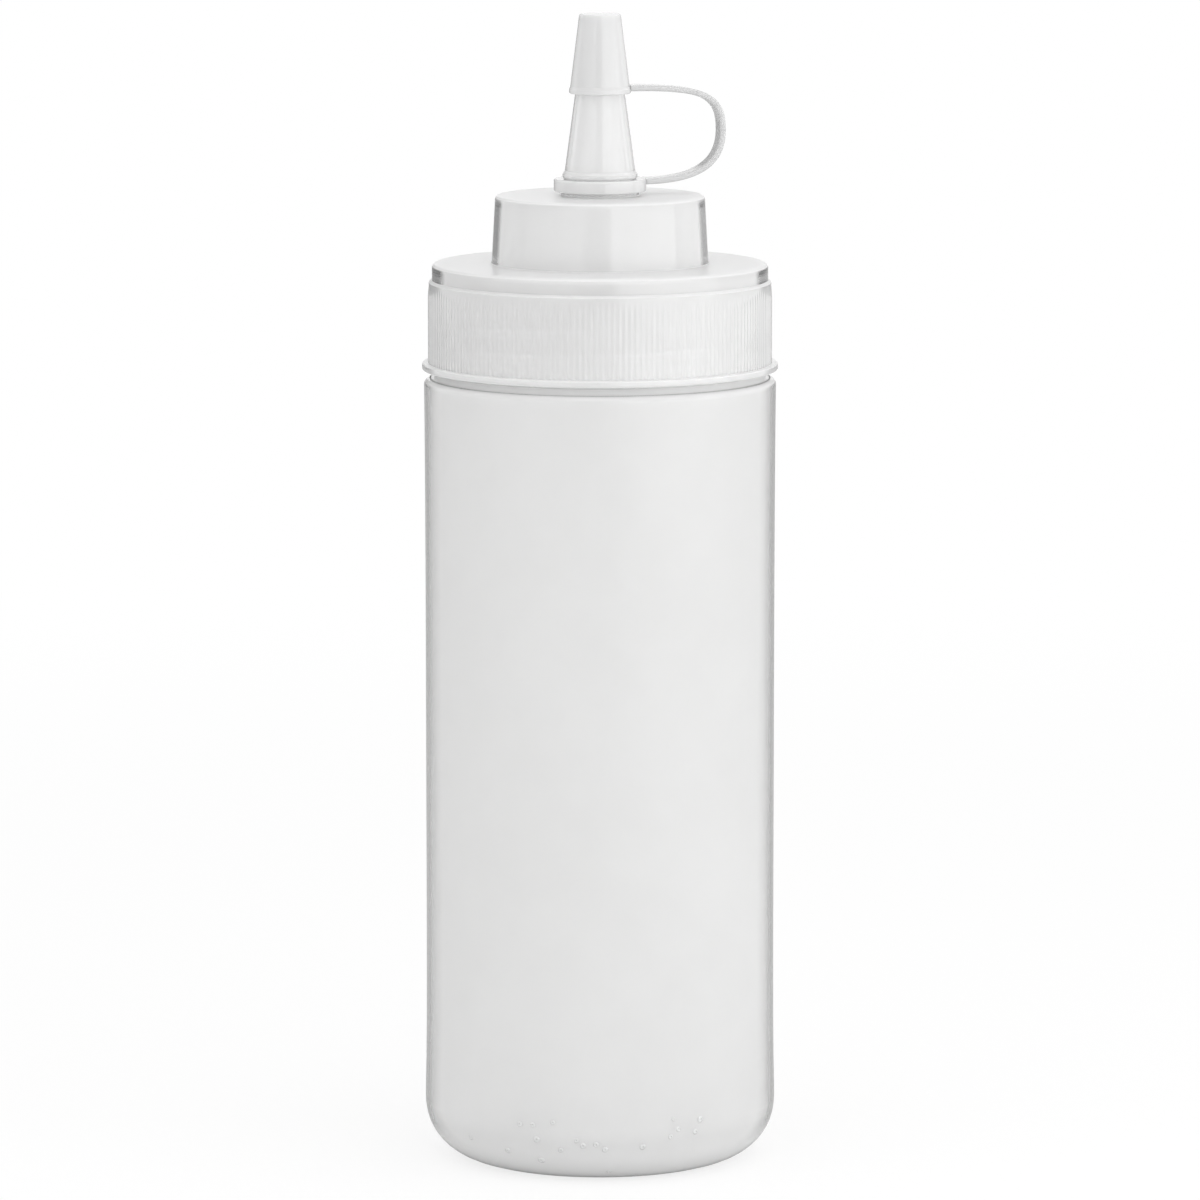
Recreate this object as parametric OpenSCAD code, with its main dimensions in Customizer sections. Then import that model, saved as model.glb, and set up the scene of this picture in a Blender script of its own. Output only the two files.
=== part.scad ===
// Squeeze bottle for sauce, with a screw lid, a cone nozzle and a tip cap on a tether strap
// Millimetres, +Z up, origin at the centre of the standing ring under the bottle
// The strap loop and the cap lie in the XZ plane, on the +X side of the nozzle

/* [Bottle] */
// Diameter of the body at its waist
body_d = 72; // [64:0.5:90]
// How far the foot stands out past the waist
foot_flare = 0.35; // [0:0.05:1]
// How far the shoulder stands out past the waist
shoulder_flare = 0.2; // [0:0.05:1]
// Height of the waist
waist_z = 78; // [50:1:110]
// Height of the shoulder
shoulder_z = 162.6; // [140:0.2:200]
// Radius of the rounded shoulder edge
shoulder_round = 2.4; // [1.5:0.1:3]
// Radius of the rounded heel
heel_round = 11.5; // [8:0.5:14]
// Radius of the hollow under the base
pushup_r = 20; // [12:0.5:22]
// Height of the hollow under the base
pushup_h = 3; // [1:0.1:5]
// Slope width of the hollow's side
pushup_slope = 6; // [3:0.5:8]
// Wall of the bottle
bottle_wall = 1; // [0.7:0.05:1.4]

/* [Neck and thread] */
// How far the neck's wall stands in from the body's waist
neck_in = 3.7; // [3.2:0.1:6]
// Height of the neck above the shoulder
neck_h = 20.4; // [18:0.1:24]
// Wall of the neck
neck_wall = 1.3; // [1:0.1:2]
// Rise of the thread in one turn
thread_pitch = 5; // [4.6:0.1:6]
// Number of turns of the thread
thread_turns = 1.75; // [1:0.25:2]
// Depth of the thread
thread_depth = 1.2; // [0.8:0.05:1.4]
// Width of the thread at its foot
thread_foot_w = 2.4; // [2:0.1:2.6]
// Width of the thread at its crest
thread_crest_w = 1; // [0.8:0.1:1.2]
// Height of the thread's start above the shoulder
thread_start = 5.6; // [5.4:0.1:7]
// Radial clearance of the thread
thread_gap = 0.4; // [0.2:0.05:0.6]
// Play along the axis between the two threads
thread_play = 0.25; // [0.1:0.05:0.3]

/* [Lid] */
// Wall of the lid
lid_wall = 1.5; // [1.2:0.1:1.9]
// Gap between the bottle's shoulder and the lid's flange
flange_gap = 1.8; // [1:0.1:2.5]
// Thickness of the flange
flange_t = 1.4; // [1:0.1:2]
// How far the flange stands out past the skirt
flange_out = 1.25; // [0.5:0.05:2]
// Number of grip ribs around the skirt
rib_count = 190; // [60:1:200]
// Depth of the grip ribs
rib_depth = 0.25; // [0.15:0.01:0.35]
// Height of the grip ribs
rib_h = 13.9; // [8:0.1:14.5]
// How far the top disk steps in from the skirt
step_in = 0.55; // [0.3:0.05:0.8]
// Height of the top disk's side above that step
step_h = 3.8; // [3:0.1:4.5]
// Radius of the disk's top edge
disk_round = 1; // [0.5:0.1:1.3]
// Radius of the drum at its foot
drum_foot_r = 22.3; // [20:0.1:25]
// Radius of the drum at its top
drum_top_r = 21.6; // [18:0.1:22]
// Height of the drum
drum_h = 14; // [8:0.2:20]
// Radius of the drum's top edge
drum_round = 1.2; // [0.5:0.1:1.4]
// Thickness of the sealing ring
seal_t = 1.6; // [1:0.1:2.2]
// Clearance between the sealing ring and the bottle's rim
seal_gap = 0.1; // [0.05:0.05:0.2]
// Clearance between the sealing ring and the lid's wall
seal_side_gap = 0.2; // [0.1:0.05:0.4]
// How far the sealing ring reaches in past the neck's wall
seal_lip = 0.5; // [0.2:0.1:1]

/* [Nozzle] */
// Radius of the post that the tether ring rests on
post_r = 7.95; // [7.7:0.05:8.6]
// Height of that post
post_h = 0.7; // [0.4:0.1:1.5]
// Radius of the groove that the tether ring turns in
groove_r = 7.2; // [7:0.05:7.3]
// How far the bead above the ring stands out of the groove
bead_out = 0.5; // [0.35:0.05:0.7]
// Height of the bead above the ring
bead_h = 1.5; // [1:0.1:2]
// Height of the nozzle's cone, from the drum to the tip cap's rim
cone_h = 20.9; // [18:0.1:24]
// Radius of the cone at the tip cap's rim
cone_r = 5.1; // [4.8:0.05:5.3]
// Height of the seat that the tip cap grips
seat_h = 1.4; // [1:0.1:2]
// Length of the slim tip inside the tip cap
tip_h = 9.2; // [6:0.1:11]
// Radius of the tip at its end
tip_r = 2.2; // [1.9:0.1:2.6]
// Radius of the opening at the tip
orifice_r = 1.2; // [0.8:0.1:1.3]
// Length of the straight opening
orifice_h = 2.5; // [1:0.1:4]
// Wall of the nozzle
nozzle_wall = 1.4; // [1:0.1:1.6]

/* [Tether ring and strap] */
// Outer radius of the tether ring
ring_r = 9.5; // [8.8:0.1:9.8]
// Height of the tether ring
ring_h = 2.6; // [2:0.1:3.4]
// Clearance of the tether ring in its groove
ring_gap = 0.15; // [0.1:0.05:0.25]
// Thickness of the strap
strap_t = 1.2; // [1:0.05:1.4]
// Width of the strap
strap_w = 4.6; // [3:0.1:6]
// How far the strap's loop reaches from the nozzle's axis
loop_x = 25.5; // [24:0.1:30]
// Height of the loop's outermost point above the strap's lower end
loop_z = 10.2; // [9:0.1:11]
// How far the strap runs on straight out of the tether ring
ring_run = 12.6; // [9:0.1:13.5]
// How far the strap runs on upright below the loop's outermost point
lower_run = 6.1; // [4:0.1:7]
// How far the strap runs on upright above the loop's outermost point
upper_run = 7; // [5:0.1:8]
// How far the strap runs on straight out of the cap
cap_run = 16.2; // [12:0.1:17]
// How deep the strap's ends are rooted in the ring and in the cap's rim
root_in = 0.4; // [0.2:0.05:0.5]
// Slit between two links of the strap, where it bends
link_gap = 0.6; // [0.55:0.05:0.8]

/* [Tip cap] */
// Height of the tip cap
cap_h = 16.3; // [15:0.1:20]
// Radius of the cap's rim
cap_rim_r = 6.35; // [6.1:0.05:6.8]
// Height of the cap's rim
cap_rim_h = 1.7; // [1.4:0.1:2.5]
// Radius of the cap just above its rim
cap_foot_r = 6.05; // [5.9:0.05:6.1]
// Radius of the cap at its top
cap_top_r = 4.3; // [4:0.05:4.8]
// Radius of the cap's top edge
cap_round = 0.6; // [0.2:0.1:0.8]
// Wall of the cap
cap_wall = 0.9; // [0.7:0.05:1]
// Thickness of the cap's top
cap_top_t = 1.1; // [0.8:0.1:1.6]
// Clearance between the cap and the nozzle's seat
cap_fit = 0.15; // [0.1:0.05:0.25]

/* [Hidden] */
$fn = 96;

// Overlap that lets joined solids fuse
fuse = 0.3;
// Length by which a cutter runs past the face it cuts
past = 1;

bottle_colour = [0.90, 0.90, 0.89, 0.62];
lid_colour = [0.90, 0.90, 0.90, 0.70];
seal_colour = "whitesmoke";

waist_r = body_d / 2;
foot_r = waist_r + foot_flare;
shoulder_r = waist_r + shoulder_flare;
neck_r = waist_r - neck_in;
rim_z = shoulder_z + neck_h;

thread_z = shoulder_z + thread_start;
thread_drop = (thread_foot_w + thread_crest_w) / 2 + thread_play;
thread_steps = 48;
thread_fade = 4;
thread_end = 0.2;

skirt_in_r = neck_r + thread_depth + thread_gap;
skirt_r = skirt_in_r + lid_wall;
flange_z = shoulder_z + flange_gap;
flange_r = skirt_r + flange_out;
plate_z = rim_z + seal_gap + seal_t;
disk_z = plate_z + lid_wall;
disk_r = skirt_r - rib_depth - step_in;
step_z = disk_z - step_h;
rib_z = flange_z + flange_t;
drum_z = disk_z + drum_h;
seal_r = disk_r - lid_wall - seal_side_gap;
seal_in_r = neck_r - neck_wall - seal_lip;

groove_z = drum_z + post_h;
groove_h = ring_h + 2 * ring_gap;
bead_z = groove_z + groove_h;
cap_z = drum_z + cone_h;
seat_z = cap_z + seat_h;
cone_slope = 0.135;
cone_foot_r = cone_r + cone_slope * (cap_z - bead_z - bead_h);
seat_r = cone_r - cone_slope * seat_h;
tip_z = seat_z + tip_h;

ring_z = groove_z + ring_gap;
ring_in_r = groove_r + ring_gap;
cap_top_z = cap_z + cap_h;
cavity_top_z = cap_top_z - cap_top_t;

// The strap's centreline: two Bezier curves that meet upright at the loop's outermost point
strap_z = ring_z + ring_h - strap_t / 2;
strap_top_z = cap_z + cap_rim_h - strap_t / 2;
strap_x = ring_r - root_in;
cap_end_x = cap_rim_r - root_in;
apex_z = strap_z + loop_z;
LOWER = [[strap_x, strap_z], [strap_x + ring_run, strap_z], [loop_x, apex_z - lower_run], [loop_x, apex_z]];
UPPER = [[loop_x, apex_z], [loop_x, apex_z + upper_run], [cap_end_x + cap_run, strap_top_z], [cap_end_x, strap_top_z]];

// Where the strap bends, as shares of the way: 0 at the ring, 1 at the loop's outermost point, 2 at the cap
BENDS = [0.06, 0.84, 1.18, 1.48, 1.72];

function bezier(p, t) =
    pow(1 - t, 3) * p[0] + 3 * pow(1 - t, 2) * t * p[1] + 3 * (1 - t) * t * t * p[2] + pow(t, 3) * p[3];
function heading(p, t) =
    let (v = pow(1 - t, 2) * (p[1] - p[0]) + 2 * (1 - t) * t * (p[2] - p[1]) + t * t * (p[3] - p[2]))
    v / norm(v);
function route(u) = u < 1 ? bezier(LOWER, u) : bezier(UPPER, u - 1);
function along(u) = u < 1 ? heading(LOWER, u) : heading(UPPER, u - 1);
function side(u) = [-along(u)[1], along(u)[0]];

// A length of strap between two shares of its way, cut square and drawn back from each bend
module strap_link(u_0, u_1, back_0, back_1) {
    steps = max(2, ceil((u_1 - u_0) * 24));
    stops = [for (i = [0 : steps]) u_0 + (u_1 - u_0) * i / steps];
    line = [for (i = [0 : steps])
        route(stops[i]) + along(stops[i]) * (i == 0 ? back_0 : i == steps ? -back_1 : 0)];
    upper = [for (i = [0 : steps]) line[i] + side(stops[i]) * strap_t / 2];
    lower = [for (i = [steps : -1 : 0]) line[i] - side(stops[i]) * strap_t / 2];
    rotate([90, 0, 0])
        translate([0, 0, -strap_w / 2])
            linear_extrude(strap_w) polygon(concat(upper, lower));
}

// A helical ridge of trapezoid section that fades out at both ends
module thread_ridge(root_r, crest_r, start_z) {
    n = round(thread_turns * thread_steps);
    sink = crest_r > root_r ? -fuse : fuse;
    points = [for (i = [0 : n])
        let (
            a = 360 * i / thread_steps,
            z = start_z + thread_pitch * i / thread_steps,
            s = min(1, max(thread_end, i / thread_fade), max(thread_end, (n - i) / thread_fade)),
            c = root_r + (crest_r - root_r) * s,
            w = thread_foot_w + (thread_crest_w - thread_foot_w) * s
        )
        each [
            [(root_r + sink) * cos(a), (root_r + sink) * sin(a), z - thread_foot_w / 2],
            [c * cos(a), c * sin(a), z - w / 2],
            [c * cos(a), c * sin(a), z + w / 2],
            [(root_r + sink) * cos(a), (root_r + sink) * sin(a), z + thread_foot_w / 2]
        ]];
    sides = [for (i = [0 : n - 1], k = [0 : 3])
        let (p = 4 * i + k, q = 4 * i + (k + 1) % 4)
        each [[p, q, q + 4], [p, q + 4, p + 4]]];
    ends = [[3, 2, 1, 0], [4 * n, 4 * n + 1, 4 * n + 2, 4 * n + 3]];
    faces = concat(sides, ends);
    turned = [for (f = faces) [for (k = [len(f) - 1 : -1 : 0]) f[k]]];
    polyhedron(points, crest_r > root_r ? faces : turned);
}

// Half section of the bottle's body, drawn in from its outer face by an inset
module body_section(inset) {
    heel_x = foot_r - heel_round;
    edge_z = shoulder_z - shoulder_round;
    edge_x = shoulder_r - shoulder_round;
    polygon([
        [0, pushup_h + inset],
        [pushup_r - pushup_slope, pushup_h + inset],
        [pushup_r + inset / 2, inset],
        [heel_x, inset],
        [heel_x, heel_round],
        [foot_r - inset, heel_round],
        [waist_r - inset, waist_z],
        [shoulder_r - inset, edge_z],
        [edge_x, edge_z],
        [edge_x, shoulder_z - inset],
        [0, shoulder_z - inset]
    ]);
    translate([heel_x, heel_round]) circle(heel_round - inset);
    translate([edge_x, edge_z]) circle(shoulder_round - inset);
}

module bottle() {
    color(bottle_colour) {
        difference() {
            rotate_extrude() body_section(0);
            rotate_extrude() body_section(bottle_wall);
            translate([0, 0, shoulder_z - bottle_wall - past])
                cylinder(h = bottle_wall + 2 * past, r = neck_r - neck_wall);
        }
        translate([0, 0, shoulder_z - bottle_wall])
            difference() {
                cylinder(h = neck_h + bottle_wall, r = neck_r);
                translate([0, 0, -past]) cylinder(h = neck_h + bottle_wall + 2 * past, r = neck_r - neck_wall);
            }
        thread_ridge(neck_r, neck_r + thread_depth, thread_z);
    }
}

module seal_ring() {
    color(seal_colour)
        translate([0, 0, rim_z + seal_gap])
            difference() {
                cylinder(h = seal_t, r = seal_r);
                translate([0, 0, -past]) cylinder(h = seal_t + 2 * past, r = seal_in_r);
            }
}

// Half section of the lid's skirt, top disk and drum, as one solid outline
module lid_outer_section() {
    polygon([
        [0, flange_z],
        [flange_r, flange_z],
        [flange_r, rib_z],
        [skirt_r - rib_depth, rib_z],
        [skirt_r - rib_depth, step_z],
        [disk_r, step_z + step_in],
        [disk_r, disk_z - disk_round],
        [disk_r - disk_round, disk_z - disk_round],
        [disk_r - disk_round, disk_z],
        [drum_foot_r, disk_z],
        [drum_top_r, drum_z - drum_round],
        [drum_top_r - drum_round, drum_z - drum_round],
        [drum_top_r - drum_round, drum_z],
        [0, drum_z]
    ]);
    translate([disk_r - disk_round, disk_z - disk_round]) circle(disk_round);
    translate([drum_top_r - drum_round, drum_z - drum_round]) circle(drum_round);
}

module lid_inner_section() {
    polygon([
        [0, flange_z - past],
        [skirt_in_r, flange_z - past],
        [skirt_in_r, step_z - lid_wall],
        [disk_r - lid_wall, step_z],
        [disk_r - lid_wall, plate_z],
        [drum_foot_r - lid_wall, plate_z],
        [drum_top_r - lid_wall, drum_z - lid_wall],
        [0, drum_z - lid_wall]
    ]);
}

// Half section of the nozzle: post, groove for the tether ring, bead, cone, seat and slim tip
module nozzle_section() {
    bore_r = groove_r - nozzle_wall;
    difference() {
        union() {
            polygon([
                [0, drum_z - lid_wall],
                [post_r, drum_z - lid_wall],
                [post_r, groove_z],
                [groove_r, groove_z],
                [groove_r, bead_z],
                [groove_r + bead_out, bead_z],
                [groove_r + bead_out, bead_z + bead_h / 2],
                [cone_foot_r, bead_z + bead_h],
                [cone_r, cap_z],
                [seat_r, seat_z],
                [tip_r, tip_z],
                [0, tip_z]
            ]);
        }
        polygon([
            [0, drum_z - lid_wall - past],
            [bore_r, drum_z - lid_wall - past],
            [bore_r, bead_z],
            [seat_r - nozzle_wall, seat_z],
            [orifice_r, tip_z - orifice_h],
            [orifice_r, tip_z + past],
            [0, tip_z + past]
        ]);
    }
}

module grip_ribs() {
    crests = [for (i = [0 : 2 * rib_count - 1])
        let (a = 180 * i / rib_count, r = skirt_r - (i % 2) * rib_depth * 1.2)
        [r * cos(a), r * sin(a)]];
    translate([0, 0, rib_z - fuse])
        linear_extrude(rib_h + fuse)
            difference() {
                polygon(crests);
                circle(skirt_in_r + lid_wall / 2);
            }
}

module lid() {
    color(lid_colour) {
        difference() {
            rotate_extrude() lid_outer_section();
            rotate_extrude() lid_inner_section();
            translate([0, 0, drum_z - lid_wall - past])
                cylinder(h = lid_wall + 2 * past, r = groove_r - nozzle_wall);
        }
        rotate_extrude() nozzle_section();
        grip_ribs();
        thread_ridge(skirt_in_r, skirt_in_r - thread_depth - thread_gap / 4, thread_z - thread_drop);
    }
}

module tether_ring() {
    color(lid_colour) {
        translate([0, 0, ring_z])
            difference() {
                cylinder(h = ring_h, r = ring_r);
                translate([0, 0, -past]) cylinder(h = ring_h + 2 * past, r = ring_in_r);
            }
        strap_link(0, BENDS[0], 0, link_gap / 2);
    }
}

module strap(i) {
    color(lid_colour) strap_link(BENDS[i - 1], BENDS[i], link_gap / 2, link_gap / 2);
}

module strap_1() { strap(1); }
module strap_2() { strap(2); }
module strap_3() { strap(3); }
module strap_4() { strap(4); }

module cap_section() {
    rim_in_r = cone_r + cap_fit;
    seat_in_r = seat_r + cap_fit;
    difference() {
        union() {
            polygon([
                [0, cap_z],
                [cap_rim_r, cap_z],
                [cap_rim_r, cap_z + cap_rim_h],
                [cap_foot_r, cap_z + cap_rim_h],
                [cap_top_r, cap_top_z - cap_round],
                [cap_top_r - cap_round, cap_top_z - cap_round],
                [cap_top_r - cap_round, cap_top_z],
                [0, cap_top_z]
            ]);
            translate([cap_top_r - cap_round, cap_top_z - cap_round]) circle(cap_round);
        }
        polygon([
            [0, cap_z - past],
            [rim_in_r, cap_z - past],
            [rim_in_r, cap_z],
            [seat_in_r, seat_z],
            [cap_top_r - cap_wall, cavity_top_z],
            [0, cavity_top_z]
        ]);
    }
}

module tip_cap() {
    color(lid_colour) {
        rotate_extrude() cap_section();
        strap_link(BENDS[4], 2, link_gap / 2, 0);
    }
}

bottle();
seal_ring();
lid();
tether_ring();
strap_1();
strap_2();
strap_3();
strap_4();
tip_cap();
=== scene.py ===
"""Squeeze sauce bottle with a screw lid, a cone nozzle and a tip cap on a tether strap.

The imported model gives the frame: metres, +Z up, origin under the centre of the standing ring,
strap loop on the +X side. The object's own lengths are written in millimetres and become metres
in Skin; the studio's are in metres.
"""
import logging
import math
from dataclasses import dataclass, field, replace
from enum import Enum
from typing import Sequence

import bpy
import numpy as np
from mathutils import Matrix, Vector


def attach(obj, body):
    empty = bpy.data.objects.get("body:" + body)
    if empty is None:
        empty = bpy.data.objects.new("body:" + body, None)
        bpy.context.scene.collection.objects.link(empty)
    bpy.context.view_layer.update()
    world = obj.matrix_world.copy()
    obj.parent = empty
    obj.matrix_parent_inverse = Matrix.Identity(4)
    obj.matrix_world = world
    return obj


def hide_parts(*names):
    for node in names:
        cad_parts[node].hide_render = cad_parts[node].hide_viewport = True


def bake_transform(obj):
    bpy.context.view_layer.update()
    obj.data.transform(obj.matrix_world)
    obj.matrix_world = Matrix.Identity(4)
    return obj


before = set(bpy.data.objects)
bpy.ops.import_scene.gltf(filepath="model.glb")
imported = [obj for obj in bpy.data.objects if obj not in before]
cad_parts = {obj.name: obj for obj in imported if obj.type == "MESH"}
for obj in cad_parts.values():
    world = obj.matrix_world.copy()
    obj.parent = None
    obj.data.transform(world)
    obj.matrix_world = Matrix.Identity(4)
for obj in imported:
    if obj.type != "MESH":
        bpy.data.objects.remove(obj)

log = logging.getLogger("sauce_bottle")

MM = 0.001
TURN = 2 * math.pi
WHITE = (1.0, 1.0, 1.0, 1.0)
# Mean of Blender's noise
NOISE_MEAN = 0.5
# Radii closer than this, in millimetres, are the same
CLOSE = 1e-6


class Value:
    """A number socket of a node tree, on which arithmetic adds Math nodes."""

    def __init__(self, tree: "Tree", socket: bpy.types.NodeSocket) -> None:
        """Keeps the socket and the tree that it belongs to."""
        self.tree = tree
        self.socket = socket

    def _maths(self, operation: str, first: object, second: object) -> "Value":
        """Adds one Math node.

        Args:
            operation: the node's operation.
            first: value or link of the first socket.
            second: value or link of the second socket.
        Returns:
            The node's result.
        """
        return self.tree.node("ShaderNodeMath", {"operation": operation}, {0: first, 1: second})

    def __add__(self, other: object) -> "Value":
        """Sum."""
        return self._maths("ADD", self, other)

    __radd__ = __add__

    def __sub__(self, other: object) -> "Value":
        """Difference."""
        return self._maths("SUBTRACT", self, other)

    def __rsub__(self, other: object) -> "Value":
        """Reflected difference."""
        return self._maths("SUBTRACT", other, self)

    def __mul__(self, other: object) -> "Value":
        """Product."""
        return self._maths("MULTIPLY", self, other)

    __rmul__ = __mul__

    def __abs__(self) -> "Value":
        """Absolute value."""
        return self._maths("ABSOLUTE", self, 0.0)


class Tree:
    """Adds nodes to one node tree."""

    def __init__(self, nodes: bpy.types.NodeTree) -> None:
        """Empties the tree."""
        self.nodes = nodes
        nodes.nodes.clear()

    def node(self, kind: str, settings: dict | None = None, sockets: dict | None = None,
             out: int | str = 0) -> Value:
        """Adds a node of any type.

        Args:
            kind: the node's type.
            settings: properties of the node, set first.
            sockets: values or links of its inputs, by name or number.
            out: name or number of the output that is returned.
        Returns:
            That output.
        """
        node = self.nodes.nodes.new(kind)
        for name, setting in (settings or {}).items():
            setattr(node, name, setting)
        for name, value in (sockets or {}).items():
            if isinstance(value, Value):
                self.nodes.links.new(value.socket, node.inputs[name])
            else:
                node.inputs[name].default_value = value
        return Value(self, node.outputs[out])

    def blend(self, share: object, first: object, second: object) -> Value:
        """Mixes two colours.

        Args:
            share: share of the second colour.
            first: first colour.
            second: second colour.
        Returns:
            The mixed colour.
        """
        settings = {"data_type": "RGBA", "clamp_factor": True}
        return self.node("ShaderNodeMix", settings, {0: share, 6: first, 7: second}, out=2)

    def mix(self, share: object, first: Value, second: Value) -> Value:
        """Mix Shader of two shaders, by the share of the second."""
        return self.node("ShaderNodeMixShader", {}, {0: share, 1: first, 2: second})

    def smooth(self, value: Value, low: float, high: float) -> Value:
        """Smooth step of a value: 0 below low, 1 above high."""
        return self.node("ShaderNodeMapRange", {"interpolation_type": "SMOOTHSTEP", "clamp": True},
                         {"Value": value, "From Min": low, "From Max": high})

    def place(self, scale: tuple[float, float, float]) -> Value:
        """Object coordinates in metres, multiplied by a scale on each axis."""
        point = self.node("ShaderNodeTexCoord", out="Object")
        return self.node("ShaderNodeMapping", {}, {"Vector": point, "Scale": scale})

    def noise(self, scale: tuple[float, float, float], detail: float = 2.0) -> Value:
        """Noise over Object coordinates, around its mean."""
        return self.node("ShaderNodeTexNoise", {}, {"Vector": self.place(scale), "Scale": 1.0,
                                                    "Detail": detail})

    def height(self, vector: Value) -> Value:
        """Z of a vector."""
        return self.node("ShaderNodeSeparateXYZ", {}, {0: vector}, out="Z")

    def finish(self, kind: str, surface: Value) -> None:
        """Adds the output node and links the surface to it."""
        node = self.nodes.nodes.new(kind)
        self.nodes.links.new(surface.socket, node.inputs["Surface"])


def new_material(name: str) -> tuple[bpy.types.Material, Tree]:
    """A new node material.

    Args:
        name: its name.
    Returns:
        The material, and its emptied tree.
    """
    material = bpy.data.materials.new(name)
    material.use_nodes = True
    return material, Tree(material.node_tree)


class Slot(Enum):
    """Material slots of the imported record."""

    BOTTLE = "bottle_plastic"
    LID = "lid_plastic"
    CAP = "cap_plastic"
    SEAL = "seal_foam"


@dataclass(frozen=True)
class MilkyPlastic:
    """Natural polyethylene: milky and partly see-through, with a satin moulded skin."""

    slot: Slot
    colour: tuple[float, float, float]
    haze: tuple[float, float, float]
    roughness: float
    roughness_spread: float
    # Share of the clear shader, and how much of it the clouds change
    clear: float
    clear_spread: float
    # How far light scatters inside, in millimetres
    depth: float
    # Facing values between which a wall seen edge-on turns clear
    rim: tuple[float, float]
    cloud_scale: float
    grain_scale: float
    # Heights of the grain and of the streaks, in millimetres
    grain_depth: float
    streak_depth: float = 0.0
    streak_scale: tuple[float, float, float] = (420.0, 420.0, 9.0)
    cloud_edges: tuple[float, float] = (0.3, 0.7)
    cloud_detail: float = 3.0
    ior: float = 1.51
    # How clear a wall seen edge-on gets
    rim_clear: float = 1.0
    # Heights between which a thin wall shows its whole rim, the rim's share elsewhere, and the
    # lengths over which the whole rim begins and ends
    thin: tuple[float, float] | None = None
    thick_rim: float = 0.35
    thin_fade: tuple[float, float] = (0.1, 1.0)
    # Heights of the unit normal between which a face turns from upright to level, and the part of
    # its clear share that a level face loses
    level_edges: tuple[float, float] = (0.15, 0.6)
    level_loss: float = 0.7
    # Roughness that faces turned up have on top of the upright walls'
    top_rough: float = 0.0
    # Share of a lamp's light that passes each face
    through: float = 0.75

    def rim_share(self, tree: Tree, level: Value) -> Value:
        """Clear share of a wall seen edge-on, by a smooth step of the layer weight.

        Level faces have none. Where only some heights are thin, the product of two smooth steps of
        the height finds them, and the rim is weaker elsewhere.

        Args:
            tree: the material's tree.
            level: how level the face is, from 0 to 1.
        Returns:
            The share.
        """
        facing = tree.node("ShaderNodeLayerWeight", out="Facing")
        rim = tree.smooth(facing, *self.rim) * self.rim_clear * (1 - level)
        if self.thin:
            z = tree.height(tree.place((1.0, 1.0, 1.0)))
            low, high, start, end = (length * MM for length in (*self.thin, *self.thin_fade))
            thin = tree.smooth(z, low - start, low + start) * (1 - tree.smooth(z, high, high + end))
            rim = rim * (self.thick_rim + thin * (1 - self.thick_rim))
        return rim

    def material(self) -> bpy.types.Material:
        """Builds the node material: a mix of scattering and clear plastic.

        The base colour and the clear share drift with broad clouds, as walls of uneven thickness
        do. An upright wall seen edge-on is clear, and so is a wall that a ray has already entered.
        The clear share is 1 less the product of what each of these leaves milky. Grain and streaks
        go into roughness and bump. A part of each lamp's light passes the face unchanged, because
        shadow rays also meet a transparent shader, so hollows and gaps glow as in real milky
        plastic.

        Returns:
            The material.
        """
        material, tree = new_material(self.slot.value)
        clouds = tree.smooth(tree.noise((self.cloud_scale,) * 3, self.cloud_detail),
                             *self.cloud_edges)
        tone = tree.blend(clouds, (*self.haze, 1), (*self.colour, 1))
        grain = tree.noise((self.grain_scale,) * 3)
        roughness = self.roughness + (grain - NOISE_MEAN) * self.roughness_spread
        height = grain * self.grain_depth
        if self.streak_depth:
            streaks = tree.noise(self.streak_scale)
            height = height + streaks * self.streak_depth
            roughness = roughness + (streaks - NOISE_MEAN) * (self.roughness_spread / 2)
        up = tree.height(tree.node("ShaderNodeTexCoord", out="Normal"))
        level = tree.smooth(abs(up), *self.level_edges)
        if self.top_rough:
            roughness = roughness + tree.smooth(up, *self.level_edges) * self.top_rough
        entered = tree.node("ShaderNodeNewGeometry", out="Backfacing")
        cloudy = self.clear + (clouds - NOISE_MEAN) * self.clear_spread
        plain = cloudy * (1 - level * self.level_loss)
        share = 1 - (1 - plain) * (1 - self.rim_share(tree, level)) * (1 - entered)
        bump = tree.node("ShaderNodeBump", {}, {"Height": height, "Strength": 1.0, "Distance": MM},
                         out="Normal")
        skin = {"Base Color": tone, "Roughness": roughness, "Normal": bump, "IOR": self.ior}
        milky = tree.node("ShaderNodeBsdfPrincipled", {}, skin | {
            "Subsurface Weight": 1.0, "Subsurface Radius": (1.0, 1.0, 1.0),
            "Subsurface Scale": self.depth * MM})
        clear = tree.node("ShaderNodeBsdfPrincipled", {}, skin | {"Transmission Weight": 1.0})
        passed = tree.node("ShaderNodeLightPath", out="Is Shadow Ray") * self.through
        tree.finish("ShaderNodeOutputMaterial",
                    tree.mix(passed, tree.mix(share, milky, clear),
                             tree.node("ShaderNodeBsdfTransparent")))
        return material


BOTTLE_PLASTIC = MilkyPlastic(
    slot=Slot.BOTTLE, colour=(0.97, 0.97, 0.965), haze=(0.95, 0.95, 0.945), roughness=0.12,
    roughness_spread=0.05, clear=0.20, clear_spread=0.06, depth=3.5, rim=(0.57, 0.87),
    cloud_scale=28.0, grain_scale=1500.0, grain_depth=0.006, streak_depth=0.02)
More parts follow.
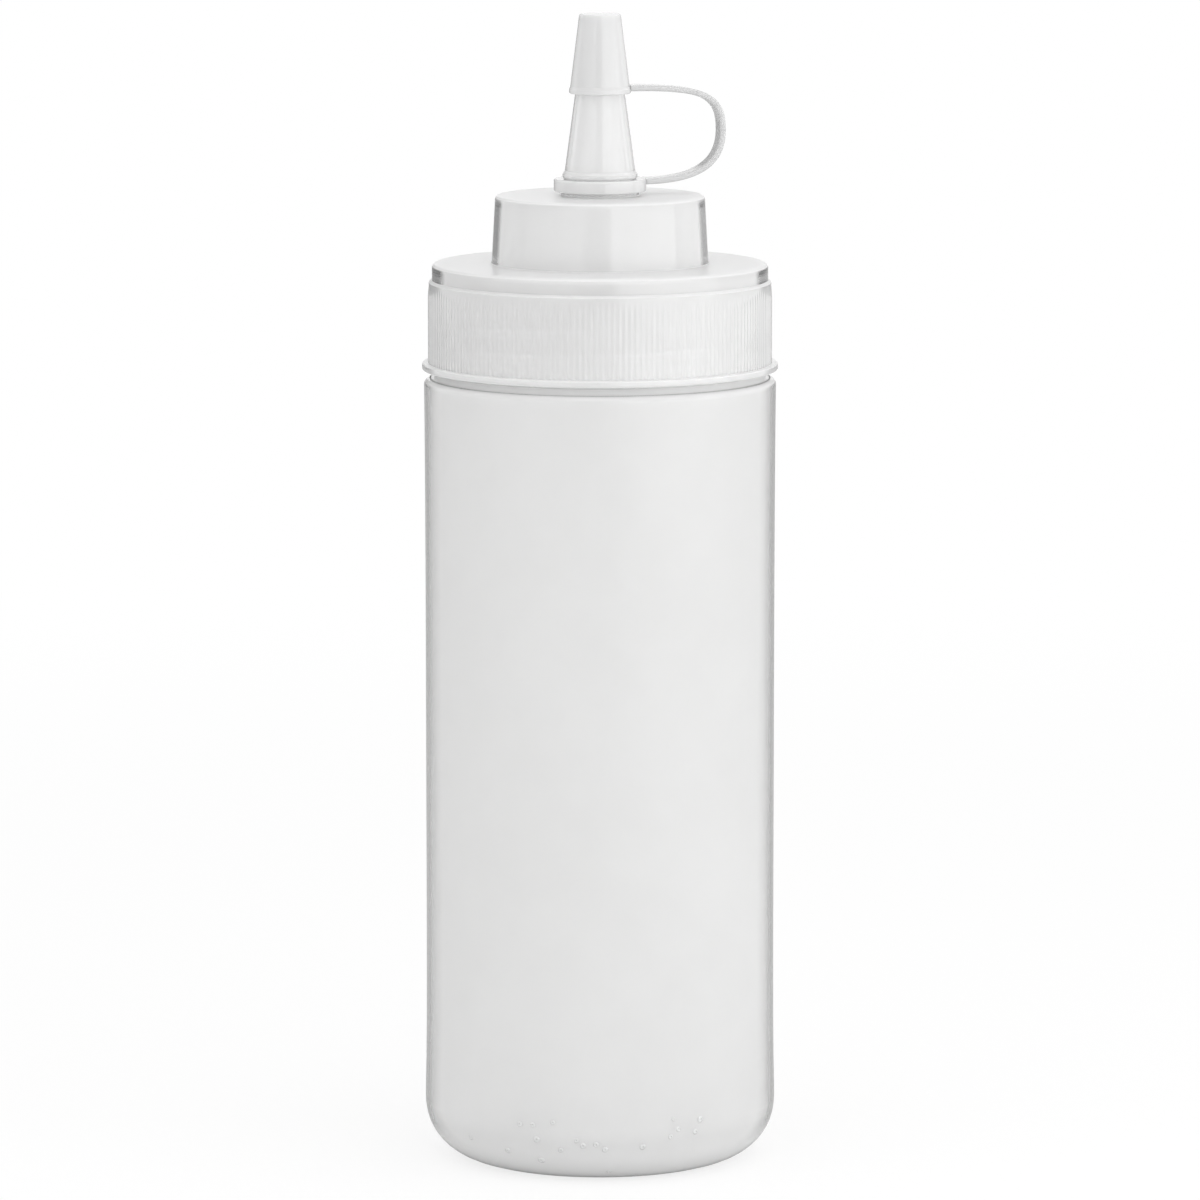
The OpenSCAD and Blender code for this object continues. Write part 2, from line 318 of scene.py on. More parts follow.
# The blisters are the bottle's plastic with no clear share and a darker colour, which is painted
# shade that dims the solid bumps to the shaded tone of the heel
BLISTER_SHADED_PLASTIC = replace(
    BOTTLE_PLASTIC, colour=(0.78, 0.78, 0.78), haze=(0.76, 0.76, 0.76), clear=0.0,
    clear_spread=0.0, rim_clear=0.0, depth=0.15)
LID_PLASTIC = MilkyPlastic(
    slot=Slot.LID, colour=(0.86, 0.86, 0.86), haze=(0.84, 0.84, 0.84), roughness=0.10,
    roughness_spread=0.04, clear=0.25, clear_spread=0.05, depth=3.0, rim=(0.60, 0.70),
    cloud_scale=40.0, grain_scale=1700.0, grain_depth=0.003, thin=(182.75, 198.8), top_rough=0.2,
    through=0.92)
CAP_PLASTIC = MilkyPlastic(
    slot=Slot.CAP, colour=(0.79, 0.79, 0.79), haze=(0.77, 0.77, 0.77), roughness=0.10,
    roughness_spread=0.04, clear=0.12, clear_spread=0.05, depth=1.5, rim=(0.65, 0.95),
    cloud_scale=60.0, grain_scale=1700.0, grain_depth=0.005, rim_clear=0.35, through=0.88)
# The strap is one thin solid band in the cap's plastic; its darker colour is painted shade, so that
# it shows darker than the hollow cap
STRAP_SHADED_PLASTIC = replace(
    CAP_PLASTIC, colour=(0.65, 0.65, 0.65), haze=(0.63, 0.63, 0.63), clear=0.04,
    clear_spread=0.02, rim_clear=0.2, depth=0.8)


@dataclass(frozen=True)
class SealFoam:
    """Soft white sealing ring with a pressed cell pattern."""

    slot: Slot = Slot.SEAL
    colour: tuple[float, float, float] = (0.84, 0.84, 0.83)
    wall_colour: tuple[float, float, float] = (0.70, 0.70, 0.69)
    roughness: float = 0.7
    wall_roughness: float = 0.15
    cell_scale: float = 1600.0
    # Distances from a cell's middle between which its wall begins
    cell_edges: tuple[float, float] = (0.1, 0.7)
    # Height of the cells' walls in millimetres, and the bump's strength
    cell_height: float = 0.1
    cell_bump: float = 0.4

    def material(self) -> bpy.types.Material:
        """Builds the node material: closed cells by their Voronoi distance in colour, roughness and
        bump.

        Returns:
            The material.
        """
        material, tree = new_material(self.slot.value)
        cells = tree.node("ShaderNodeTexVoronoi", {}, {
            "Vector": tree.place((self.cell_scale,) * 3), "Scale": 1.0})
        walls = tree.smooth(cells, *self.cell_edges)
        bump = tree.node("ShaderNodeBump", {}, {
            "Height": walls, "Strength": self.cell_bump, "Distance": self.cell_height * MM},
            out="Normal")
        shader = tree.node("ShaderNodeBsdfPrincipled", {}, {
            "Base Color": tree.blend(walls, (*self.colour, 1), (*self.wall_colour, 1)),
            "Roughness": self.roughness + walls * self.wall_roughness, "Normal": bump})
        tree.finish("ShaderNodeOutputMaterial", shader)
        return material


@dataclass(frozen=True)
class Corner:
    """Corner of a profile in the half plane of radius and height.

    It has a fillet radius, and where the straight side after it needs more points, their step.
    """

    r: float
    z: float
    fillet: float = 0.0
    step: float = 0.0


def rounded(corners: Sequence[Corner], closed: bool, arc_step: float = 15.0,
            hold: float = 0.2) -> np.ndarray:
    """Profile with a circular arc at each corner.

    With P before and N after a corner C, and a and b the unit vectors from C to them, the arc of
    radius f touches both sides at the distance f / tan(angle / 2) from C, and its centre lies on
    their bisector at f / sin(angle / 2). Points on the arc turn evenly from one side to the other.
    A point held close to each end keeps the flats flat under smooth shading. A corner with a step
    has evenly spaced points on the straight after it.

    Args:
        corners: the corners in order, with the material on the left.
        closed: whether the last corner joins the first.
        arc_step: degrees of arc between two points.
        hold: distance of the held points from the arc's ends.
    Returns:
        Points (n, 2) of radius and height.
    """
    line: list[np.ndarray] = []
    count = len(corners)
    for i, corner in enumerate(corners):
        here = np.array([corner.r, corner.z])
        at_end = not closed and i in (0, count - 1)
        if at_end or corner.fillet == 0:
            arc = here[None, :]
        else:
            before, after = corners[i - 1], corners[(i + 1) % count]
            a = np.array([before.r, before.z]) - here
            b = np.array([after.r, after.z]) - here
            a, b = a / np.linalg.norm(a), b / np.linalg.norm(b)
            angle = math.acos(float(np.clip(a @ b, -1, 1)))
            reach = corner.fillet / math.tan(angle / 2)
            centre = here + (a + b) / np.linalg.norm(a + b) * corner.fillet / math.sin(angle / 2)
            swing = math.pi - angle
            s = np.linspace(0, 1, max(2, math.ceil(math.degrees(swing) / arc_step)) + 1)[:, None]
            u, v = here + a * reach - centre, here + b * reach - centre
            arc = centre + (u * np.sin((1 - s) * swing) + v * np.sin(s * swing)) / math.sin(swing)
            arc = np.vstack([arc[0] + a * hold, arc, arc[-1] + b * hold])
        if corner.step:
            ahead = corners[(i + 1) % count]
            run = np.array([ahead.r, ahead.z]) - arc[-1]
            steps = max(1, math.floor((np.linalg.norm(run) - ahead.fillet - hold) / corner.step))
            t = np.arange(1, steps)[:, None] * corner.step
            arc = np.vstack([arc, arc[-1] + run / np.linalg.norm(run) * t])
        line.append(arc)
    return np.vstack(line)


def turned(profile: np.ndarray, angles: np.ndarray, lift: np.ndarray | float = 0.0) -> np.ndarray:
    """Surface of a profile turned about the Z axis: (r cos a, r sin a, z) for each row and angle.

    Args:
        profile: points (m, 2) of radius and height.
        angles: angles (n) in radians.
        lift: what is added to the radius, (m, n) or one number.
    Returns:
        Points (m, n, 3).
    """
    r = profile[:, :1] + lift + np.zeros((len(profile), len(angles)))
    z = profile[:, 1:] + np.zeros_like(r)
    return np.stack([r * np.cos(angles), r * np.sin(angles), z], -1)


@dataclass
class Skin:
    """Points and faces gathered from grids, fans and strips, all facing outwards."""

    points: list[np.ndarray] = field(default_factory=list)
    faces: list[np.ndarray] = field(default_factory=list)
    count: int = 0

    def add(self, points: np.ndarray) -> np.ndarray:
        """Adds points in millimetres.

        Args:
            points: an array (..., 3).
        Returns:
            Their numbers, in the same layout.
        """
        numbers = self.count + np.arange(points[..., 0].size).reshape(points.shape[:-1])
        self.points.append(points.reshape(-1, 3) * MM)
        self.count += numbers.size
        return numbers

    def quads(self, ids: np.ndarray, wrap_rows: bool = False, wrap_columns: bool = True) -> None:
        """Joins a grid of points with four-sided faces.

        Args:
            ids: point numbers (m, n).
            wrap_rows: whether the last row joins the first.
            wrap_columns: whether the last column joins the first.
        """
        low = ids if wrap_rows else ids[:-1]
        high = np.roll(ids, -1, 0) if wrap_rows else ids[1:]
        corners = [low, np.roll(low, -1, 1), np.roll(high, -1, 1), high]
        if not wrap_columns:
            corners = [c[:, :-1] for c in corners]
        self.faces.append(np.stack(corners, -1).reshape(-1, 4))

    def pole(self, point: tuple[float, float, float], ring: np.ndarray, first: bool) -> None:
        """Closes a ring of points with a fan about one point on the axis.

        Args:
            point: the point on the axis.
            ring: point numbers of the ring.
            first: whether the pole comes before the ring in the profile.
        """
        centre = np.full(len(ring), self.add(np.array([point]))[0])
        after = np.roll(ring, -1)
        self.faces.append(np.stack([centre, after, ring] if first else [ring, after, centre], -1))

    def cap(self, ring: np.ndarray, reverse: bool) -> None:
        """Closes a flat ring with one face."""
        self.faces.append(ring[::-1][None] if reverse else ring[None])

    def strip(self, first: np.ndarray, second: np.ndarray) -> None:
        """Joins two rings of which one has a whole multiple of the other's points.

        Args:
            first: point numbers of the ring that comes first in the profile.
            second: point numbers of the ring that comes second.
        """
        coarse_first = len(first) < len(second)
        coarse, fine = (first, second) if coarse_first else (second, first)
        per = len(fine) // len(coarse)
        runs = fine[(np.arange(len(coarse))[:, None] * per + np.arange(per + 1)) % len(fine)]
        after = np.roll(coarse, -1)
        faces = ([coarse, after, *runs.T[::-1]] if coarse_first else [*runs.T, after, coarse])
        self.faces.append(np.stack(faces, -1))

    def piece(self, name: str, material: bpy.types.Material,
              crease: float = 38.0) -> bpy.types.Object:
        """Puts the gathered surface into a new object at the origin.

        Args:
            name: the object's name.
            material: its material.
            crease: edges that turn by more than this many degrees stay sharp.
        Returns:
            The object.
        """
        mesh = bpy.data.meshes.new(name)
        faces = [face for group in self.faces for face in group.tolist()]
        mesh.from_pydata(np.vstack(self.points), [], faces)
        mesh.shade_smooth()
        mesh.set_sharp_from_angle(angle=math.radians(crease))
        mesh.materials.append(material)
        piece = bpy.data.objects.new(name, mesh)
        bpy.context.scene.collection.objects.link(piece)
        return piece


def settle(piece: bpy.types.Object, body: str, nodes: Sequence[str]) -> None:
    """Lets a piece ride on its body, in place of its nodes.

    Args:
        piece: the new object.
        body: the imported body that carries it.
        nodes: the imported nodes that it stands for.
    """
    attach(piece, body)
    if nodes:
        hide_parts(*nodes)
    log.info("%s rides on %s, %d faces", piece.name, body, len(piece.data.polygons))


@dataclass(frozen=True)
class Thread:
    """Helical ridge of trapezoid section that fades in and out."""

    start_z: float
    depth: float
    pitch: float = 5.0
    turns: float = 1.75
    foot: float = 2.4
    crest: float = 1.0
    fade: float = 0.5

    def lift(self, angles: np.ndarray, z: np.ndarray) -> np.ndarray:
        """Height of the ridge over the wall.

        On each turn the ridge's centre rises by the pitch. The height is full within the crest's
        width, falls evenly to nothing at the foot's width, and grows from nothing over the fade
        angle at both ends. The highest turn counts.

        Args:
            angles: angles (n) from 0 to a full turn, in radians.
            z: heights (m, 1).
        Returns:
            Heights of the ridge (m, n).
        """
        height = np.zeros((len(z), len(angles)))
        for turn in range(math.ceil(self.turns)):
            way = angles + turn * TURN
            off = np.abs(z - self.start_z - self.pitch * way / TURN)
            flank = np.clip((self.foot / 2 - off) / ((self.foot - self.crest) / 2), 0, 1)
            ends = np.clip(np.minimum(way, self.turns * TURN - way) / self.fade, 0, 1)
            height = np.maximum(height, flank * ends * ends * (3 - 2 * ends))
        return self.depth * height


@dataclass
class Bottle:
    """Blow-moulded body with a rounded heel, a hollow base and a threaded wide neck."""

    finish: MilkyPlastic = BOTTLE_PLASTIC
    waist_r: float = 36.0
    waist_z: float = 78.0
    foot_flare: float = 0.35
    shoulder_flare: float = 0.2
    shoulder_z: float = 162.6
    shoulder_round: float = 1.3
    heel_round: float = 11.5
    # Height at which the side's radius gives the foot's
    foot_z: float = 10.0
    # Heights of the points on the side
    side_heights: tuple[float, ...] = (14.0, 20.0, 28.0, 38.0, 50.0, 64.0, 78.0, 92.0, 106.0,
                                       120.0, 132.0, 142.0, 150.0, 156.0)
    # The hollow under the base: standing radius, height, width of its slope, fillets at its foot
    # and its top, and the shift of the slope's inner face
    pushup_r: float = 20.0
    pushup_h: float = 3.0
    pushup_slope: float = 6.0
    pushup_round: float = 2.5
    pushup_top_round: float = 8.0
    pushup_shift: float = 0.4
    wall: float = 1.0
    # Low cone from the shoulder up to the neck's foot: radii and heights
    cone_r: float = 34.4
    cone_top_r: float = 33.2
    cone_top_z: float = 163.8
    neck_foot_z: float = 163.9
    neck_r: float = 32.3
    neck_in_r: float = 31.0
    neck_row: float = 0.2
    rim_z: float = 183.0
    rim_round: float = 0.45
    thread: Thread = Thread(start_z=168.2, depth=1.2)
    segments: int = 256
    # The two parting lines: angle in degrees, height, width, and where they begin and end
    parting_angle: float = -13.0
    parting_height: float = 0.05
    parting_width: float = 0.3
    parting_from_z: float = 4.0
    parting_to_r: float = 33.3
    # The seam under the base: half length, half width, height, and its points along and around
    seam_reach: float = 11.0
    seam_half: float = 0.35
    seam_height: float = 0.4
    seam_rows: int = 33
    seam_segments: int = 10
    # A blister: rings' radii and heights in shares of its radius, the heights of its two poles,
    # and the points around
    blister_reach: tuple[float, ...] = (1.1, 1.15, 0.9, 0.62, 0.48, 0.2)
    blister_rise: tuple[float, ...] = (-0.3, -0.03, 0.12, 0.26, 0.07, 0.03)
    blister_poles: tuple[float, float] = (-0.35, 0.02)
    blister_segments: int = 12
    # Angle in degrees, height and radius of the small blisters in the heel
    blisters: tuple[tuple[float, float, float], ...] = (
        (-151.0, 7.9, 0.5), (-135.5, 6.4, 0.6), (-129.9, 12.5, 0.5), (-125.3, 12.6, 0.45),
        (-124.0, 9.6, 0.6), (-123.5, 4.9, 0.65), (-118.5, 13.4, 0.45), (-116.1, 7.6, 0.5),
        (-110.7, 9.8, 0.45), (-108.5, 8.7, 0.55), (-104.3, 9.0, 0.5), (-101.4, 7.9, 0.55),
        (-99.7, 2.6, 0.5), (-89.0, 8.3, 0.6), (-79.6, 10.1, 0.5), (-78.6, 13.7, 0.4),
        (-76.9, 11.5, 0.5), (-70.5, 10.6, 0.55), (-68.6, 13.0, 0.6))

    def side(self, z: np.ndarray) -> np.ndarray:
        """Radius of the side.

        It is the waist's, plus a flare that grows with the sixth power of the way to the heel and
        the fourth power of the way to the shoulder.

        Args:
            z: heights.
        Returns:
            Radii at these heights.
        """
        low = np.clip((self.waist_z - z) / (self.waist_z - self.heel_round), 0, 1) ** 6
        high = np.clip((z - self.waist_z) / (self.shoulder_z - self.waist_z), 0, 1) ** 4
        return self.waist_r + self.foot_flare * low + self.shoulder_flare * high

    def foot_r(self) -> float:
        """Radius of the foot."""
        return float(self.side(np.array(self.foot_z)))

    def angles(self) -> np.ndarray:
        """Even angles, with closer ones across the two parting lines.

        Returns:
            Angles (n) in radians, in order.
        """
        even = np.arange(self.segments) * TURN / self.segments
        half = self.parting_width / self.waist_r
        near = half * np.array([-1.5, -1.0, -0.5, 0.0, 0.5, 1.0, 1.5])
        lines = math.radians(self.parting_angle) + np.array([0, math.pi])
        extra = (lines[:, None] + near).ravel() % TURN
        gap = np.abs((even[:, None] - extra + math.pi) % TURN - math.pi).min(1)
        return np.sort(np.concatenate([even[gap > half / 3], extra]))

    def parting(self, angles: np.ndarray) -> np.ndarray:
        """Height of the two parting lines: a low tent across each.

        Args:
            angles: angles (n) in radians.
        Returns:
            Heights (n) over the wall.
        """
        off = (angles - math.radians(self.parting_angle)) % math.pi
        off = np.minimum(off, math.pi - off) * self.waist_r
        return self.parting_height * np.clip(1 - off / (self.parting_width / 2), 0, 1)

    def profile(self) -> tuple[np.ndarray, int]:
        """Half section from the pole under the base, up the outside, over the rim and down inside.

        Returns:
            Points (n, 2), and the number of those that lie on the outside.
        """
        heights = np.array(self.side_heights)
        outer = self.side(heights)
        foot, top = self.foot_r(), float(self.side(np.array(self.shoulder_z)))
        slope_r = self.pushup_r - self.pushup_slope
        inside, shift = self.wall, self.pushup_shift
        outside = [
            Corner(0, self.pushup_h), Corner(slope_r, self.pushup_h, self.pushup_top_round),
            Corner(self.pushup_r, 0, self.pushup_round), Corner(foot, 0, self.heel_round),
            *[Corner(float(r), float(z)) for r, z in zip(outer, heights)],
            Corner(top, self.shoulder_z, self.shoulder_round),
            Corner(self.cone_r, self.shoulder_z, 1.2),
            Corner(self.cone_top_r, self.cone_top_z, 0.4),
            Corner(self.neck_r, self.neck_foot_z, 0.2, self.neck_row),
            Corner(self.neck_r, self.rim_z, self.rim_round)]
        hollow = [
            Corner(self.neck_in_r, self.rim_z, self.rim_round),
            Corner(self.neck_in_r, self.shoulder_z - inside, 0.9),
            Corner(top - inside, self.shoulder_z - inside, self.shoulder_round - inside),
            *[Corner(float(r) - inside, float(z)) for r, z in zip(outer[::-1], heights[::-1])],
            Corner(foot - inside, inside, self.heel_round - inside),
            Corner(self.pushup_r + shift, inside, 2.0),
            Corner(slope_r + shift, self.pushup_h + inside, self.pushup_top_round),
            Corner(0, self.pushup_h + inside)]
        line = rounded(outside + hollow, closed=False, arc_step=7.5)
        return line, int(np.argmax(line[:, 1] >= self.rim_z - CLOSE)) + 1

    def shell(self, material: bpy.types.Material) -> bpy.types.Object:
        """Body and neck as one closed wall: the turned profile, with the thread's height added to
        the neck's radius and the parting lines' to the side's.

        Args:
            material: the bottle's material.
        Returns:
            The object.
        """
        line, outside = self.profile()
        angles = self.angles()
        lift = np.zeros((len(line), len(angles)))
        rows = np.arange(len(line))
        on_neck = np.abs(line[:, 0] - self.neck_r) < CLOSE
        lift[on_neck] = self.thread.lift(angles, line[on_neck, 1:])
        on_side = (rows < outside) & (line[:, 1] > self.parting_from_z)
        lift[on_side & (line[:, 0] > self.parting_to_r)] += self.parting(angles)
        skin = Skin()
        ids = skin.add(turned(line[1:-1], angles, lift[1:-1]))
        skin.quads(ids)
        skin.pole((0, 0, line[0, 1]), ids[0], first=True)
        skin.pole((0, 0, line[-1, 1]), ids[-1], first=False)
        return skin.piece("bottle_shell", material)

    def heel_blisters(self, material: bpy.types.Material) -> bpy.types.Object:
        """Low round blisters in the heel, hollow in the middle, on the heel's arc and turned to its
        normal.

        Each is a grid of rings about a centre on the arc: a point is the centre, plus the circle
        of the two tangent vectors times the ring's radius, plus the normal times its height.

        Args:
            material: the blisters' material.
        Returns:
            The object.
        """
        around = np.arange(self.blister_segments) * TURN / self.blister_segments
        reach = np.array(self.blister_reach)[:, None, None]
        height = np.array(self.blister_rise)[:, None, None]
        under, over = self.blister_poles
        heel_x = self.foot_r() - self.heel_round
        skin = Skin()
        for angle, z, radius in self.blisters:
            turn = math.radians(angle)
            fall = math.asin(max(0.0, 1 - z / self.heel_round))
            out = np.array([math.cos(turn), math.sin(turn), 0.0])
            normal = out * math.cos(fall) + np.array([0, 0, -math.sin(fall)])
            along = np.array([-math.sin(turn), math.cos(turn), 0.0])
            rise = np.cross(normal, along)
            centre = out * (heel_x + self.heel_round * math.cos(fall))
            centre = centre + np.array([0, 0, max(z, self.heel_round * (1 - math.sin(fall)))])
            flat = (along * np.cos(around)[:, None] + rise * np.sin(around)[:, None]) * radius
            ids = skin.add(centre + flat * reach + normal * radius * height)
            skin.quads(ids)
            skin.pole(tuple(centre + normal * over * radius), ids[-1], first=False)
            skin.pole(tuple(centre + normal * under * radius), ids[0], first=True)
        return skin.piece("heel_blisters", material, crease=80.0)

    def pinch_seam(self, material: bpy.types.Material) -> bpy.types.Object:
        """Pinched seam across the hollow base: an ellipse carried along a straight line.

        Its size is the square root of 1 less the sixth power of the way from the middle, so it
        dies out at both ends.

        Args:
            material: the bottle's material.
        Returns:
            The object.
        """
        way = np.linspace(-1, 1, self.seam_rows)
        fade = np.sqrt(np.clip(1 - way ** 6, 0, 1)) + 0.02  # never quite nothing, for the end caps
        turn = math.radians(self.parting_angle)
        line = np.stack([math.cos(turn) * way, math.sin(turn) * way, 0 * way], -1) * self.seam_reach
        across = np.array([-math.sin(turn), math.cos(turn), 0.0])
        up = np.array([0, 0, 1.0])
        around = (np.arange(self.seam_segments) * TURN / self.seam_segments)[:, None]
        section = across * np.cos(around) * self.seam_half + up * np.sin(around) * self.seam_height
        ridge = line[:, None, :] + section * fade[:, None, None] + up * self.pushup_h
        skin = Skin()
        ids = skin.add(ridge)
        skin.quads(ids)
        skin.cap(ids[0], reverse=True)
        skin.cap(ids[-1], reverse=False)
        return skin.piece("pinch_seam", material, crease=60.0)

    def build(self) -> None:
        """Builds the bottle's pieces and settles them."""
        material = self.finish.material()
        settle(self.shell(material), "bottle", ["bottle"])
        # The blisters' darker colour is painted shade
        settle(self.heel_blisters(BLISTER_SHADED_PLASTIC.material()), "bottle", [])
        settle(self.pinch_seam(material), "bottle", [])


@dataclass
class Lid:
    """One moulding: flange, ribbed skirt, top disk, drum and cone nozzle, threaded inside."""

    finish: MilkyPlastic = LID_PLASTIC
    skirt_in_r: float = 33.9
    skirt_r: float = 35.4
    flange_z: float = 164.4
    flange_r: float = 36.65
    rib_z: float = 165.8
    ribs: int = 190
    rib_depth: float = 0.14
    rib_top_z: float = 182.0
    rib_fade: float = 3.0
    # Heights of the ribs' points below the fade, and the number of those in it
    rib_heights: tuple[float, ...] = (165.8, 166.1, 170.0, 174.5)
    rib_fade_rows: int = 7
    step_z: float = 182.4
    disk_r: float = 34.6
    disk_z: float = 186.2
    drum_z: float = 200.2
    # Groove of the tether ring, and the bead over it
    groove_r: float = 7.2
    groove_z: float = 200.9
    groove_top_z: float = 203.8
    bead_r: float = 7.7
    # Nozzle: height of the cone's end, of the tip, the bore's radius and the wide bore's
    cone_z: float = 222.5
    tip_z: float = 231.7
    bore_r: float = 1.2
    wide_bore_r: float = 5.8
    # Inside: under the drum's top, under the disk, and the seat of the sealing ring
    drum_in_z: float = 198.7
    plate_z: float = 184.7
    seat_r: float = 33.1
    segments: int = 304
    # Points on the ribbed band for each one on the rings above and below it
    per_segment: int = 5
    thread: Thread = Thread(start_z=166.25, depth=1.3)

    def skirt_profile(self) -> np.ndarray:
        """Half section of the flange, from the skirt's inner edge to its upper face.

        Returns:
            Points (n, 2) of radius and height.
        """
        return rounded([
            Corner(self.skirt_in_r, self.rib_z + 0.5),
            Corner(self.skirt_in_r, self.flange_z, 0.3), Corner(self.flange_r, self.flange_z, 0.4),
            Corner(self.flange_r, self.rib_z, 0.4), Corner(self.skirt_r + 0.4, self.rib_z),
        ], closed=False)

    def upper_profile(self) -> np.ndarray:
        """Half section from the top of the ribs over the disk, drum and nozzle, down the bore and
        the inner wall to the skirt's inner edge.

        Returns:
            Points (n, 2) of radius and height.
        """
        plain_r = self.skirt_r - self.rib_depth
        disk = [
            Corner(plain_r, self.rib_top_z), Corner(plain_r, self.step_z, 0.3),
            Corner(self.disk_r, self.step_z + 0.5, 0.25), Corner(self.disk_r, self.disk_z, 0.9)]
        drum = [
            Corner(22.3, self.disk_z, 0.45), Corner(21.55, self.drum_z, 0.8),
            Corner(7.95, self.drum_z, 0.25), Corner(7.95, self.groove_z, 0.2)]
        groove = [
            Corner(self.groove_r, self.groove_z, 0.1),
            Corner(self.groove_r, self.groove_top_z, 0.1),
            Corner(self.bead_r, self.groove_top_z, 0.2), Corner(self.bead_r, 204.6, 0.3)]
        nozzle = [
            Corner(7.23, 205.3, 0.4), Corner(5.1, 221.1, 0.8), Corner(4.91, self.cone_z, 1.2),
            Corner(2.2, self.tip_z, 0.5)]
        bore = [
            Corner(self.bore_r, self.tip_z, 0.3), Corner(self.bore_r, 229.2, 0.6),
            Corner(3.51, self.cone_z, 1.0), Corner(self.wide_bore_r, self.groove_top_z, 1.5),
            Corner(self.wide_bore_r, self.drum_in_z, 0.5)]
        inner = [
            Corner(20.1, self.drum_in_z, 0.8), Corner(20.8, self.plate_z, 0.4),
            Corner(self.seat_r, self.plate_z, 0.5), Corner(self.seat_r, self.step_z, 0.3),
            Corner(self.skirt_in_r, 180.9, 0.4, 0.3), Corner(self.skirt_in_r, self.rib_z + 0.8)]
        return rounded(disk + drum + groove + nozzle + bore + inner, closed=False)

    def rib_lift(self, angles: np.ndarray, z: np.ndarray) -> np.ndarray:
        """Height of the grip ribs: a raised cosine around the skirt, to a power that narrows it,
        which dies out over the last millimetres below the step.

        Args:
            angles: angles (n) in radians.
            z: heights (m, 1).
        Returns:
            Heights of the ribs (m, n) over the plain skirt.
        """
        wave = (0.5 + 0.5 * np.cos(self.ribs * angles)) ** 1.2
        fade = np.clip((self.rib_top_z - z) / self.rib_fade, 0, 1)
        return self.rib_depth * wave * fade * fade * (3 - 2 * fade)

    def shell(self, material: bpy.types.Material) -> bpy.types.Object:
        """The lid as one closed wall. The ribbed band has several points for each rib and is
        joined to the coarser rings above and below it.

        Args:
            material: the lid's material.
        Returns:
            The object.
        """
        angles = np.arange(self.segments) * TURN / self.segments
        points = self.segments * self.per_segment
        fine = np.arange(points) * TURN / points
        top = self.rib_top_z - self.rib_fade * np.linspace(1, 0, self.rib_fade_rows)
        heights = np.concatenate([self.rib_heights, top[:-1], top[-1:] - 0.05])
        band_line = np.stack([np.full(len(heights), self.skirt_r - self.rib_depth), heights], -1)
        skin = Skin()
        low = skin.add(turned(self.skirt_profile(), angles))
        band = skin.add(turned(band_line, fine, self.rib_lift(fine, heights[:, None])))
        line = self.upper_profile()
        lift = np.zeros((len(line), len(angles)))
        inner = np.abs(line[:, 0] - self.skirt_in_r) < CLOSE
        lift[inner] = -self.thread.lift(angles, line[inner, 1:])
        high = skin.add(turned(line, angles, lift))
        skin.quads(low)
        skin.strip(low[-1], band[0])
        skin.quads(band)
        skin.strip(band[-1], high[0])
        skin.quads(high)
        skin.quads(np.stack([high[-1], low[0]]))
        return skin.piece("lid_shell", material)

    def build(self) -> None:
        """Builds the lid and settles it."""
        settle(self.shell(self.finish.material()), "lid", ["lid"])


@dataclass
class SealRing:
    """Flat sealing ring under the lid's top plate, with a shallow groove in its lower face."""

    finish: SealFoam = SealFoam()
    inner_r: float = 30.5
    outer_r: float = 32.9
    low_z: float = 183.1
    high_z: float = 184.7
    edge: float = 0.35
    groove_depth: float = 0.12
    segments: int = 192

    def build(self) -> None:
        """Builds the ring as a turned closed section with rounded edges and settles it."""
        groove_z = self.low_z + self.groove_depth
        line = rounded([
            Corner(self.inner_r, self.low_z, self.edge), Corner(31.3, self.low_z, 0.1),
            Corner(31.4, groove_z, 0.05), Corner(31.6, groove_z, 0.05),
            Corner(31.7, self.low_z, 0.1), Corner(self.outer_r, self.low_z, self.edge),
            Corner(self.outer_r, self.high_z, self.edge),
            Corner(self.inner_r, self.high_z, self.edge),
        ], closed=True, hold=0.02)
        skin = Skin()
        angles = np.arange(self.segments) * TURN / self.segments
        skin.quads(skin.add(turned(line, angles)), wrap_rows=True)
        piece = skin.piece("sealing_ring", self.finish.material())
        settle(piece, "seal_ring", ["seal_ring"])


@dataclass(frozen=True)
class StrapRun:
    """A run of the strap between two shares of its way, which bends at one hinge.

    The hinge is given by X and Z. The run stands for its node, or for none if the name is empty.
    """

    name: str
    start: float
    end: float
    low_body: str
    high_body: str
    hinge: tuple[float, float]
    node: str


